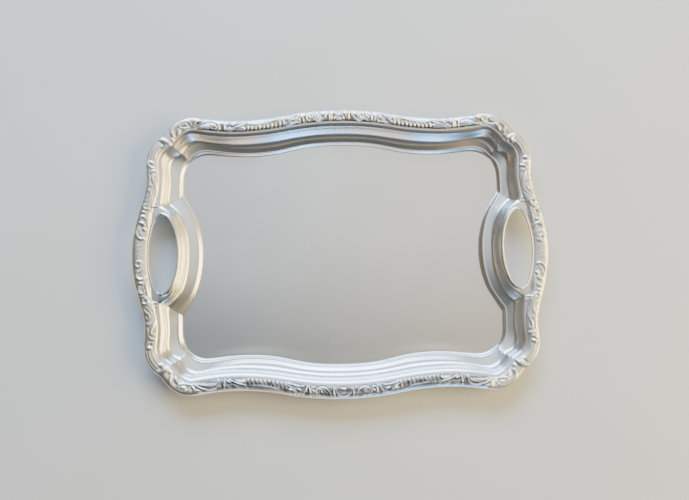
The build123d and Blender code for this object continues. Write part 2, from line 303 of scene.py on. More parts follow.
def long_half():
    """Strokes of half a long side: (points, radius, height)."""
    L = []
    a = L.append
    # shell in the middle of the side
    a(([(-0.5, 3.0), (5, 4.2), (8.2, 7.4), (8.6, 11.6)], [1.0, 1.0, 0.7], [1.2, 1.2, 0.8]))
    a(([(-0.5, 6.0), (3.8, 7.1), (5.6, 10.9)], [0.9, 0.7], [1.1, 0.8]))
    a(([(0, 10.6), (2.6, 11.0)], [1.7, 1.3], [1.5, 1.1]))
    for u0, u1 in ((1.2, 1.6), (3.9, 5.6)):
        a(([(u0, 4.4), (u0 * 0.8 + 0.2, 6.4)], [0.55, 0.45], [1.5, 0.9]))
    a(([(9.6, 1.8), (10.8, 6), (10.6, 11.6)], [0.9, 1.4, 1.0], [1.1, 1.6, 1.0]))
    # first C-scroll with its eye
    a(([(13.5, 2.4), (15.0, 6.5), (18, 10), (22.5, 11.9), (27, 11.2), (30.2, 8.4), (30.4, 5.2), (28.4, 3.4), (26, 3.8)],
       [0.8, 1.1, 1.2, 1.1, 0.7], [1.1, 1.4, 1.4, 1.4, 1.0]))
    a(([(27.2, 4.6), (27.8, 7.2), (26, 9.4), (23, 9.2), (21.6, 7.3), (23, 5.8)], [0.8, 0.9, 0.7], [1.2, 1.3, 1.0]))
    a(([(24.4, 7.3)], [1.4], [1.8]))
    a(([(20, 2.2), (22.5, 3.4), (24.5, 2.8)], [1.2, 0.9, 0.5], [0.9, 0.9, 0.5]))
    # eye and its collar
    a(([(33.4, 7.8)], [2.0], [1.8]))
    a(([(31.0, 10.2), (33.4, 11.8), (36.0, 10.4), (36.4, 7.0), (34.6, 4.6), (32.0, 3.6)], [0.7, 0.9, 0.6], [1.0, 1.2, 0.8]))
    # fan of broad ribs
    for q, k in (([(38.4, 12.2), (37.4, 7), (36.6, 2.2)], 1.4), ([(40.6, 12.2), (41.9, 7.6), (44.4, 4.0)], 1.4)):
        a((q, [1.0, 1.5, 1.3], [1.0, k, 1.2]))
    # arch over an oval boss
    a(([(45.2, 9.6), (45.6, 6.0), (47.8, 3.6), (51, 3.4), (53.4, 5.8), (53.2, 8.2)], [0.7, 0.9, 0.7], [1.0, 1.3, 1.0]))
    a(([(48.0, 7.6), (51.0, 8.4)], [1.8, 1.5], [1.8, 1.5]))
    a(([(45, 12.0), (50, 11.5), (56, 12.0), (62.6, 12.8)], [0.7, 1.2, 0.8], [0.9, 1.2, 0.8]))
    # leaf running into the ribbon
    a(([(54, 2.4), (55.6, 6.2), (59.2, 9.0), (64.4, 11.0)], [1.2, 1.4, 0.7], [1.4, 1.5, 0.8]))
    a(([(58.0, 6.2), (60.6, 6.6)], [1.5, 1.0], [1.7, 1.1]))
    a(([(57.2, 2.6), (61, 4.2), (64.4, 7.2)], [1.0, 0.8, 0.6], [1.2, 1.0, 0.8]))
    # ribbon: fine reeds along its inner edge
    a(([(60, 2.0), (70, 3.8), (80, 5.5), (92, 6.3), (100, 5.6), (105.5, 3.6)], [0.5, 0.75, 0.75, 0.6], [0.7, 1.1, 1.1, 0.8]))
    a(([(62, 1.0), (72, 2.5), (82, 4.0), (92, 4.7), (101, 4.0)], [0.4, 0.5, 0.5, 0.4], [0.5, 0.55, 0.55, 0.4]))
    for i in range(10):
        uc = 64.4 + 4.35 * i
        wr = float(np.interp(uc, [60, 70, 80, 92, 100, 105], [2.4, 4.2, 5.9, 6.7, 6.0, 4.4]))
        k = 1.0 + 0.35 * math.sin(2.4 * i)
        a(([(uc - 0.7, wr + 2.2), (uc + 0.2, 10.2), (uc + 0.6, 11.8)], [1.4, 1.7 + 0.3 * k, 1.5], [0.4 * k, 0.75 * k, 0.6]))
        a(([(uc + 2.3, 9.8), (uc + 2.6, 11.2)], [0.9, 1.0], [-0.5, -0.7]))
    # acanthus: a broad leaf, its rim and a few lobes
    a(([(104.5, 3.2), (108, 6.4), (113, 7.6), (119, 10.2), (123.5, 12.6)], [0.9, 1.2, 0.8], [1.1, 1.5, 1.0]))
    a(([(108, 10.4), (112, 10.0), (117, 11.6)], [2.5, 2.7, 1.2], [1.1, 1.2, 0.7]))
    a(([(107.4, 2.2), (113, 3.4), (119.6, 6.4)], [1.5, 1.6, 0.8], [0.9, 1.1, 0.7]))
    a(([(117, 1.9), (123, 3.2), (126.2, 6.6)], [1.2, 1.5, 0.9], [0.9, 1.2, 0.8]))
    a(([(122.8, 9.6), (125.2, 11.2)], [1.3, 1.4], [1.1, 1.4]))
    a(([(128.8, 3.0), (128.8, 7.0), (128.0, 11.6)], [1.1, 1.8, 1.2], [0.9, 1.4, 0.9]))
    a(([(132.0, 4.6), (132.6, 7.6), (132.9, 11.0)], [0.8, 1.1, 0.9], [-0.6, -1.2, -0.9]))
    a(([(135.2, 12.4)], [1.2], [1.2]))
    # large leaf
    a(([(133.8, 11.0), (134.6, 7.6), (137.2, 4.8), (142, 3.7), (148, 4.6), (154, 7.6), (160, 11.6)],
       [0.8, 1.1, 1.1, 0.8], [1.1, 1.6, 1.5, 1.0]))
    a(([(138.2, 8.6), (143, 8.0), (149, 9.4), (156, 11.6)], [2.6, 3.0, 1.2], [1.2, 1.5, 0.8]))
    a(([(141.6, 10.2), (146, 9.2), (151, 10.2), (156, 12.0)], [0.8, 1.1, 0.7], [1.7, 2.4, 1.5]))
    a(([(143.6, 11.4), (144.4, 12.8)], [1.0, 0.9], [-1.0, -0.8]))
    a(([(146, 1.9), (152, 2.6), (158, 5.0)], [1.4, 1.6, 0.9], [0.8, 1.1, 0.8]))
    a(([(134, 1.8), (139, 1.5), (143.4, 1.8)], [1.0, 1.1, 0.8], [0.8, 0.9, 0.6]))
    # large C-scroll on the lobe, and the arch over it
    a(([(156.5, 10.4), (161, 12.2), (167, 12.8), (174, 12.6), (180.4, 10.8), (184.0, 7.8), (182.6, 5.4)],
       [1.0, 1.5, 1.5, 1.3, 0.8], [1.0, 1.5, 1.5, 1.4, 1.0]))
    a(([(160.6, 1.6), (160.8, 5.6), (162.8, 9.4), (166.4, 11.6)], [0.8, 1.3, 1.0], [1.0, 1.3, 1.0]))
    a(([(167.0, 9.0), (170.4, 5.4), (175.6, 3.2), (182, 2.4), (188, 2.5), (193.4, 3.8), (197.4, 6.6), (198.8, 10.2)],
       [0.8, 1.3, 1.5, 1.8, 1.3], [1.0, 1.2, 1.3, 1.7, 1.3]))
    a(([(168.8, 8.2), (172.2, 8.6)], [1.5, 1.2], [-1.1, -0.9]))
    a(([(175, 7.2), (179.6, 7.6)], [2.4, 1.8], [0.7, 0.6]))
    a(([(187.6, 6.4), (191.4, 7.2), (193.6, 9.4)], [1.0, 1.5, 1.1], [-0.7, -1.1, -0.8]))
    a(([(186.6, 9.8), (190.0, 11.0), (193.4, 12.6)], [1.7, 2.1, 1.4], [1.0, 1.3, 0.9]))
    return L


def end_tail():
    """Strokes of a handle end from beside the slot out to the corner notch."""
    L = []
    a = L.append
    # leaf over the valley beside the slot
    a(([(60.5, 5.4), (64.5, 8.0), (68.6, 9.8)], [1.0, 1.4, 0.9], [1.1, 1.5, 0.9]))
    a(([(59.4, 7.6), (62.8, 10.8), (66.6, 13.0)], [1.0, 1.5, 1.0], [1.2, 1.8, 1.1]))
    a(([(58.4, 8.6), (60.9, 12.6), (63.6, 15.8)], [1.0, 1.5, 1.1], [1.2, 1.9, 1.2]))
    a(([(57.4, 9.4), (58.4, 13.4), (59.6, 17.2)], [1.0, 1.4, 1.0], [1.1, 1.7, 1.0]))
    # small scrolls
    a(([(61.8, 2.6), (66, 3.8), (68.8, 6.6), (72.2, 6.6), (74.0, 4.2), (72.0, 3.0)], [1.0, 1.3, 0.9], [0.9, 1.3, 0.9]))
    a(([(77.0, 2.2), (79.4, 4.6), (78.2, 7.6)], [1.0, 1.3, 0.9], [0.8, 1.2, 0.8]))
    a(([(76.4, 11.8), (81.0, 9.6), (85.6, 7.2), (89.4, 8.0), (89.0, 10.6)], [0.9, 1.3, 0.9], [0.9, 1.4, 1.0]))
    a(([(82.4, 2.4), (86.6, 3.6), (90.4, 3.0)], [1.0, 1.3, 0.9], [0.7, 1.0, 0.7]))
    # leaf tip, crescent and bead
    a(([(91.6, 5.6), (93.8, 8.4), (94.0, 12.4)], [1.0, 1.5, 1.1], [1.2, 1.9, 1.3]))
    a(([(97.0, 9.8), (98.8, 5.4), (103.4, 2.8), (110, 2.2)], [1.0, 1.5, 1.0], [1.1, 1.7, 0.8]))
    a(([(100.6, 7.4)], [1.5], [-0.9]))
    a(([(104.6, 5.8), (104.0, 7.8)], [2.2, 2.0], [1.5, 1.3]))
    # reeds round the corner lobe
    for w, k in ((2.8, 1.0), (6.0, 1.1), (9.2, 1.0)):
        a(([(108.6, w + 0.2), (114, w), (124, w), (133.0, w + 0.3)], [1.3, 1.7, 1.7, 1.3], [0.6 * k, 1.0 * k, 1.0 * k, 0.7 * k]))
    # curl beside the notch
    a(([(132.6, 10.4), (135.6, 11.8), (138.6, 10.2), (139.2, 6.6), (137.6, 3.4), (134.6, 1.8)], [1.2, 1.9, 1.9, 1.2], [1.2, 2.2, 2.1, 1.2]))
    a(([(134.4, 6.8), (135.6, 7.2)], [1.7, 1.4], [-1.0, -0.8]))
    return L


def handle_a():
    """Strokes of a handle, the half with the small ring near the middle."""
    L = []
    a = L.append
    for k in (0, 1):
        a(([(-3.4 + 4.2 * k, 10.6), (0.6 + 4.2 * k, 6.8), (3.0 + 4.2 * k, 3.0)], [1.0, 1.6, 1.0], [0.4, 0.8, 0.5]))
    a((list(spiral(12.0, 7.4, 4.2, 1.15, 120, 1, 0.4)), [1.3, 1.4, 0.9], [1.7, 1.8, 1.2]))
    a(([(15.8, 12.6), (19.4, 9.4), (20.6, 5.8), (23.6, 3.6), (27.2, 4.4), (29.4, 7.6), (28.2, 11.4), (25.4, 13.6)],
       [0.8, 1.2, 1.7, 1.0], [0.8, 1.4, 2.1, 1.1]))
    a(([(26.0, 8.6)], [1.5], [-0.8]))
    a(([(33.6, 6.0), (34.4, 9.0)], [1.7, 1.4], [1.3, 1.0]))
    a(([(32.4, 13.2), (38, 12.0), (44, 11.6), (51, 10.8)], [0.9, 1.3, 1.3, 0.9], [0.8, 1.4, 1.3, 0.8]))
    a(([(37.6, 4.4), (41.0, 2.8), (44.6, 4.0), (45.6, 7.2), (43.0, 9.4)], [1.0, 1.6, 1.0], [1.3, 1.9, 1.2]))
    a(([(41.2, 6.6)], [1.3], [-0.7]))
    a(([(48.4, 2.6), (49.0, 6.6)], [1.2, 1.4], [1.0, 1.2]))
    a((list(spiral(54.4, 6.0, 3.8, 1.1, 150, -1, 0.45)), [1.3, 1.3, 0.8], [1.7, 1.8, 1.2]))
    return L


def handle_b():
    """Strokes of a handle, the half with the wide volute."""
    L = []
    a = L.append
    for k in (1, 2):
        a(([(-3.4 + 4.2 * k, 3.0), (0.2 + 4.2 * k, 6.4), (2.4 + 4.2 * k, 10.4)], [1.0, 1.6, 1.0], [0.5, 0.8, 0.4]))
    a(([(19.2, 12.8), (18.2, 8.8), (21.0, 4.8), (26.0, 3.0), (31.0, 3.6)], [1.2, 1.7, 1.0], [1.4, 2.0, 1.1]))
    a(([(36.0, 4.6), (36.4, 8.2), (34.0, 10.6)], [1.2, 1.6, 1.0], [1.5, 2.0, 1.2]))
    a(([(21.8, 10.2), (24.6, 7.2), (28.6, 6.2)], [0.9, 1.3, 0.8], [0.7, 1.0, 0.6]))
    a(([(30.0, 11.0), (30.6, 11.8)], [1.8, 1.6], [1.6, 1.4]))
    a(([(32.2, 7.0)], [1.8], [-0.9]))
    a(([(27.4, 11.4)], [1.2], [-0.7]))
    a(([(33.8, 14.0), (39, 12.6), (44, 11.8), (50.4, 11.2)], [0.9, 1.2, 1.2, 0.9], [0.7, 1.0, 1.0, 0.7]))
    a(([(39.8, 3.0), (43.4, 4.6), (44.0, 8.2), (41.8, 9.6)], [1.0, 1.5, 1.0], [1.1, 1.8, 1.2]))
    a(([(46.6, 5.4)], [1.3], [-0.8]))
    a(([(49.0, 4.6), (49.4, 6.8)], [1.6, 1.3], [1.4, 1.1]))
    a((list(spiral(56.0, 5.8, 3.6, 1.1, 60, 1, 0.45)), [1.3, 1.3, 0.8], [1.7, 1.7, 1.1]))
    return L


def relief():
    st = Strokes()
    for pts, r, h in long_half():
        for sign in (1, -1):
            stroke(st, long_edge, pts, r, h, sign)
    for pts, r, h in end_tail():
        for sign in (1, -1):
            stroke(st, end_edge, pts, r, h, sign)
    for pts, r, h in handle_a():
        stroke(st, end_edge, pts, r, h, -1)         # u < 0 is the back half of the right end
    for pts, r, h in handle_b():
        stroke(st, end_edge, pts, r, h, 1)
    # leaf over the corner notch, in coordinates along and across its mitre line
    along = MITRE / np.linalg.norm(MITRE)
    across = np.array([-along[1], along[0]])
    for pts, r, h in (([(5.0, 0.6), (10, 0.8), (16.5, 0.6)], [1.3, 2.3, 1.7], [0.5, 1.3, 1.0]),
                      ([(11.0, -4.6), (14.4, -5.0)], [1.8, 1.5], [1.0, 0.8])):
        q = cubic(pts, 20)
        xy = NOTCH + q[:, :1] * along + q[:, 1:] * across
        for fy in (1, -1):
            st.add(xy * [1, fy], taper(20, r), taper(20, h))
            st.add(xy * [-1, fy], taper(20, r), taper(20, h))
    return st


RELIEF = relief()

# height of the border's ground under the relief, against inset
GROUND = np.array([(0.0, 19.7), (0.08, 20.3), (0.3, 20.9), (0.8, 21.45), (1.6, 21.98), (2.6, 22.5), (3.6, 22.9), (4.6, 23.12),
                   (5.8, 23.16), (7.5, 22.95), (9.5, 22.6), (10.8, 22.2), (11.7, 21.6), (12.5, 20.9), (13.2, 20.3), (14.0, 20.15),
                   (22.0, 20.15)])
# the handle ends and the corner lobes are lower and more gently rounded
GROUND_END = np.array([(0.0, 19.7), (0.08, 20.35), (0.35, 21.1), (0.9, 21.8), (1.8, 22.3), (3.2, 22.62), (5.0, 22.72), (7.5, 22.6),
                       (9.5, 22.28), (11.2, 21.8), (12.6, 21.2), (13.6, 20.6), (14.0, 20.25), (22.0, 20.2)])
ROWS = 44


def border(name, parts, nodes, material, flip=(1, 1), turn=False, dark=1.0, foot=0.0):
    """One border piece. parts: [(edge, u0, u1)] run on from each other; flip mirrors the finished piece."""
    cols_xy, cols_w, cols_e, cols_u, cols_g = [], [], [], [], []
    for k, (edge, ua, ub) in enumerate(parts):
        n = int(abs(ub - ua) / 0.46) + 1
        u = np.linspace(ua, ub, n)
        if k:
            u = u[1:]
        # the border is wider under the leaves beside the slot and over the corner notch
        wide = np.full(len(u), 14.0)
        if edge is end_edge:
            wide += 4.6 * np.exp(-((np.abs(u) - 60.6) / 3.6) ** 4)
        wide += 1.2 * np.exp(-((edge.half - np.abs(u)) / 7.0) ** 2)
        spread = 2.1 * (1 - smooth(np.abs(u), 40, 52)) * (edge is end_edge)
        wide += spread
        cols_g.append((14.0 / (14.0 + spread))[:, None])
        xi = np.linspace(0, 1, ROWS) ** 1.15
        W = wide[:, None] * xi[None]
        W[:, 1] = 0.10
        # small scallops along the outer edge of the long sides
        if edge is long_edge:
            amount = 0.34 * (1 - smooth(np.abs(u), 56, 64) + smooth(np.abs(u), 103, 108) * (1 - smooth(np.abs(u), 146, 154)))
            bump = amount * np.abs(np.sin(math.pi * u / 4.3)) ** 0.8
        else:
            bump = np.zeros(len(u))
        P = np.stack([inset(edge, u, W[:, j] - bump * max(0.0, 1 - W[0, j] / 3.0)) for j in range(ROWS)], 1)
        cols_e.append(np.full(len(u), 1.0 if edge is long_edge else 0.0))
        cols_u.append(np.abs(u))
        cols_xy.append(P)
        cols_w.append(W)
    P, W = np.vstack(cols_xy), np.vstack(cols_w)
    on_long, absu = np.concatenate(cols_e)[:, None], np.concatenate(cols_u)[:, None]
    n = len(P)
    flat = P.reshape(-1, 2)
    up, down = RELIEF.field(flat)
    up, down = up.reshape(n, ROWS), down.reshape(n, ROWS)
    worn = 1 - on_long * (1 - smooth(absu, 152, 164))
    ground = np.interp(W, GROUND[:, 0], GROUND[:, 1]) * (1 - worn) + np.interp(W * np.vstack(cols_g), GROUND_END[:, 0], GROUND_END[:, 1]) * worn
    wide = W[:, -1:]
    # relief dies out towards both feet of the border
    mask = smooth(W, 0.0, 1.6) * smooth(wide - W, 0.0, 1.3)
    # the long sides keep a nearly plain outer band, and the corner lobes are worn
    mask = mask * (1 - on_long * 0.62 * (1 - smooth(W, 1.8, 5.2)))
    lobe = np.where(on_long > 0.5, smooth(absu, 156, 166), smooth(absu, 104, 110) * (1 - 0.6 * smooth(absu, 128, 134)))
    mask = mask * (1 - 0.5 * lobe * on_long)
    sunk = smooth(W, 5.2, 8.0) * smooth(wide - W, 0.4, 2.0)
    low = (0.12 + 0.38 * on_long) * sunk * np.clip(1 - up / 0.5, 0, 1)
    z = ground + up * mask - (down * 0.9) * mask * np.clip(1 - up / 0.8, 0, 1) - low
    z = np.maximum(z, 20.15)
    z[:, -1] = 20.15
    z[:, 0] = 19.7
    # cavity: how far a point lies below its surroundings; it drives tarnish in the hollows and painted shade
    def blur(a, k):
        for axis in (0, 1):
            pad = [(k, k) if i == axis else (0, 0) for i in (0, 1)]
            c = np.cumsum(np.pad(a, pad, mode="edge"), axis=axis)
            lead = np.take(c, range(2 * k, c.shape[axis]), axis=axis)
            lag = np.concatenate([np.zeros_like(np.take(c, [0], axis=axis)),
                                  np.take(c, range(0, c.shape[axis] - 2 * k - 1), axis=axis)], axis=axis)
            a = (lead - lag) / (2 * k + 1)
        return a
    base_z = ground
    rel = z - base_z
    rel = blur(rel, 1) * (1 - worn) + blur(rel, 2) * worn
    z[:, 2:-1] = np.maximum(base_z + rel, 20.15)[:, 2:-1]
    cavity = np.clip((blur(rel, 4) - rel) * 2.2 + 0.9 * (blur(rel, 9) - rel), 0, 1)
    cavity = cavity * (0.35 + 0.65 * smooth(W, 3.0, 7.0)) * (1 - 0.72 * worn)
    recess = smooth(W, 3.0, 5.0) * (1 - smooth(W, 10.4, 11.8)) * (1 - smooth(rel, 0.2, 0.95)) * (1 - worn)
    inner = smooth(W, 10.7, 11.7) * (1 - smooth(W, 12.3, 13.2)) * (1 - smooth(rel, 0.2, 1.0)) * (1 - worn)
    # tarnish in the hollows mixed with painted shade: dark scales the hollows' darkening per piece, and paints the
    # recesses darker where it is above 0.8 and lighter where below; foot paints a shade line along the inner foot
    tarnish_and_shade = np.clip(cavity * min(dark, 1.5) + 0.75 * (dark - 0.8) * recess + foot * inner, 0, 1)
    # under side and outer lip, from the inner foot back to the outer edge
    under = [(None, 20.0), (1.5, 20.0), (1.5, 18.75), (1.2, 18.42), (0.7, 18.4), (0.28, 18.62), (0.04, 19.1)]
    V, tarnish_and_shade_rows = [], []
    for j in range(ROWS):
        V.append(np.column_stack([P[:, j], z[:, j]]))
        tarnish_and_shade_rows.append(tarnish_and_shade[:, j])
    # these rows get a fixed middling darkening of 0.5
    for w, zz in under:
        rows = []
        for (edge, ua, ub), c, Wc in zip(parts, cols_xy, cols_w):
            m = int(abs(ub - ua) / 0.46) + 1
            u = np.linspace(ua, ub, m)
            if len(c) < m:
                u = u[1:]
            rows.append(inset(edge, u, Wc[:, -1] if w is None else np.full(len(u), w)))
        V.append(np.column_stack([np.vstack(rows), np.full(n, zz)]))
        tarnish_and_shade_rows.append(np.full(n, 0.5))
    rows = len(V)
    verts = np.stack(V, 1).reshape(-1, 3)         # column by column
    tarnish_and_shade_values = np.stack(tarnish_and_shade_rows, 1).ravel()
    faces = [grid_faces(n, rows, wrap_cols=True, flip=True)]
    # flat end caps: strips between the top and the under side
    for col, rev in ((0, False), (n - 1, True)):
        loop = col * rows + np.arange(rows)
        # order the loop: up the section; fan from pairs of matching positions
        top = loop[:ROWS]
        tri = []
        under_loop = loop[ROWS:]
        # bridge: inner foot corner, then the rest of the top to the lip's corner
        inner, corner = under_loop[0], under_loop[1]
        split = int(np.argmin(np.abs(W[col] - 1.5)))
        for j in range(split, ROWS - 1):
            tri.append((top[j], top[j + 1], corner))
        tri.append((top[-1], inner, corner))
        # the lip's area: fan about the corner's neighbour on the under side
        hub = under_loop[2]
        tri.append((top[split], corner, hub))
        for j in range(split):
            tri.append((top[j], top[j + 1], hub))
        rest = list(under_loop[2:]) + [top[0]]
        for j in range(1, len(rest) - 1):
            tri.append((hub, rest[j], rest[j + 1]))
        tri = np.array(tri)
        faces.append(tri[:, ::-1] if rev else tri)
    fx, fy = flip
    if turn:
        fx, fy = -1, -1
    verts = verts * [fx, fy, 1]
    if fx * fy < 0:
        faces = [f[:, ::-1] for f in faces]
    ob = build(name, verts, faces, {"tarnish_and_shade": tarnish_and_shade_values}, 62, nodes, material)
    return ob


# ---------------------------------------------------------------- materials
class Nodes:
    def __init__(self, name):
        self.mat = bpy.data.materials.new(name)
        self.mat.use_nodes = True
        self.t = self.mat.node_tree
        self.t.nodes.clear()
        self.out = self.n("ShaderNodeOutputMaterial")
        self.bsdf = self.n("ShaderNodeBsdfPrincipled")
        self.link(self.bsdf.outputs[0], self.out.inputs[0])
        self.coord = self.n("ShaderNodeTexCoord").outputs["Object"]

    def n(self, kind, **props):
        node = self.t.nodes.new(kind)
        for k, v in props.items():
            setattr(node, k, v)
        return node

    def link(self, a, b):
        self.t.links.new(a, b)

    def put(self, socket, value):
        if hasattr(value, "is_output") or isinstance(value, bpy.types.NodeSocket):
            self.link(value, socket)
        else:
            socket.default_value = value

    def noise(self, scale, detail=4, rough=0.55, stretch=None, rotate=0.0, distortion=0.0):
        vec = self.coord
        if stretch:
            m = self.n("ShaderNodeMapping")
            m.inputs["Rotation"].default_value = (0, 0, rotate)
            self.link(vec, m.inputs["Vector"])
            s = self.n("ShaderNodeMapping")
            s.inputs["Scale"].default_value = stretch
            self.link(m.outputs[0], s.inputs["Vector"])
            vec = s.outputs[0]
        t = self.n("ShaderNodeTexNoise")
        self.link(vec, t.inputs["Vector"])
        t.inputs["Scale"].default_value = scale
        t.inputs["Detail"].default_value = detail
        t.inputs["Roughness"].default_value = rough
        t.inputs["Distortion"].default_value = distortion
        return t.outputs["Fac"]

    def ramp(self, fac, a, b, c0=0.0, c1=1.0):
        m = self.n("ShaderNodeMapRange")
        self.link(fac, m.inputs["Value"])
        m.inputs["From Min"].default_value = a
        m.inputs["From Max"].default_value = b
        m.inputs["To Min"].default_value = c0
        m.inputs["To Max"].default_value = c1
        return m.outputs[0]

    def math(self, op, a, b=0.0):
        m = self.n("ShaderNodeMath", operation=op)
        self.put(m.inputs[0], a)
        self.put(m.inputs[1], b)
        return m.outputs[0]

    def mix(self, fac, a, b):
        m = self.n("ShaderNodeMix", data_type="RGBA")
        self.put(m.inputs[0], fac)
        self.put(m.inputs[6], a)
        self.put(m.inputs[7], b)
        return m.outputs[2]

    def bump(self, height, strength, distance, normal=None):
        b = self.n("ShaderNodeBump")
        b.inputs["Strength"].default_value = strength
        b.inputs["Distance"].default_value = distance
        self.link(height, b.inputs["Height"])
        if normal is not None:
            self.link(normal, b.inputs["Normal"])
        return b.outputs[0]


def silver(name, rough, bright, dark, tarnish_and_shade=False, grain=0.0):
    m = Nodes(name)
    cloud = m.noise(7.0, 2, 0.5)
    colour = m.mix(m.ramp(cloud, 0.35, 0.7), bright, [c * 0.94 for c in bright[:3]] + [1])
    r = m.ramp(cloud, 0.3, 0.72, rough * 0.85, rough * 1.15)
    if tarnish_and_shade:
        # the attribute mixes tarnish in the hollows with painted shade, and darkens the colour towards dark where it is
        # high
        att = m.n("ShaderNodeAttribute", attribute_name="tarnish_and_shade")
        t = m.ramp(att.outputs["Fac"], 0.12, 0.62)
        blotch = m.ramp(m.noise(160.0, 3, 0.6), 0.35, 0.65, 0.72, 1.0)
        t = m.math("MULTIPLY", t, blotch)
        colour = m.mix(t, colour, dark)
        r = m.math("ADD", r, m.math("MULTIPLY", t, 0.22))
    m.put(m.bsdf.inputs["Base Color"], colour)
    m.put(m.bsdf.inputs["Roughness"], r)
    m.bsdf.inputs["Metallic"].default_value = 1.0
    if grain:
        nrm = m.bump(m.noise(420.0, 3, 0.6), grain, 0.0002)
        m.link(nrm, m.bsdf.inputs["Normal"])
    return m.mat


pan_mat = silver("silver_satin", 0.275, (0.885, 0.88, 0.87, 1), (0.2, 0.17, 0.14, 1))
# border_mat and long_mat are lit copies of one silver: the handle and corner borders get a warmer base colour, a
# painted warm light from the right, and the long sides a darker colour for their painted shade
border_mat = silver("silver_relief", 0.36, (0.945, 0.90, 0.83, 1), (0.13, 0.11, 0.09, 1), tarnish_and_shade=True)
long_mat = silver("silver_relief_long", 0.36, (0.92, 0.915, 0.905, 1), (0.09, 0.08, 0.08, 1), tarnish_and_shade=True)
collar_mat = silver("silver_polished", 0.24, (0.93, 0.91, 0.885, 1), (0.2, 0.17, 0.14, 1))

# ------------------------------------------------------------------- the pan
# Wall profile: (plan key, height), from the floor up to the flange.
FLOOR_IN = -0.34
PROFILE = [(-0.34, 1.20), (-0.26, 1.24), (-0.18, 1.46), (-0.10, 1.94), (-0.02, 2.58), (0.06, 3.30), (0.12, 3.82), (0.17, 4.14),
           (0.21, 4.26), (0.25, 4.27), (0.29, 4.27), (0.34, 4.34), (0.42, 4.55), (0.55, 4.92), (0.70, 5.33), (0.84, 5.72),
           (0.94, 6.02)]
COVE = np.array([(1.0, 6.2), (1.22, 6.85), (1.44, 8.05), (1.64, 10.0), (1.80, 12.4), (1.92, 15.0), (2.0, 17.6)])
cove = cubic(COVE * [10.0, 1.0], 30) / [10.0, 1.0]
PROFILE += [tuple(p) for p in cove]
PROFILE += [(2.04, 18.05), (2.12, 18.36), (2.24, 18.70), (2.40, 19.06), (2.56, 19.36), (2.70, 19.60), (2.80, 19.76),
            (2.88, 19.88), (2.95, 19.97), (3.0, 20.0)]


def ring_at(k):
    """Plan ring at key k; the left wall's lower step starts a little further in."""
    ring = plan(k).copy()
    ring[:, 0] += 2.0 * smooth(-ring[:, 0], 146.0, 174.0) * float(np.clip(1 - k, 0, 1))
    return ring


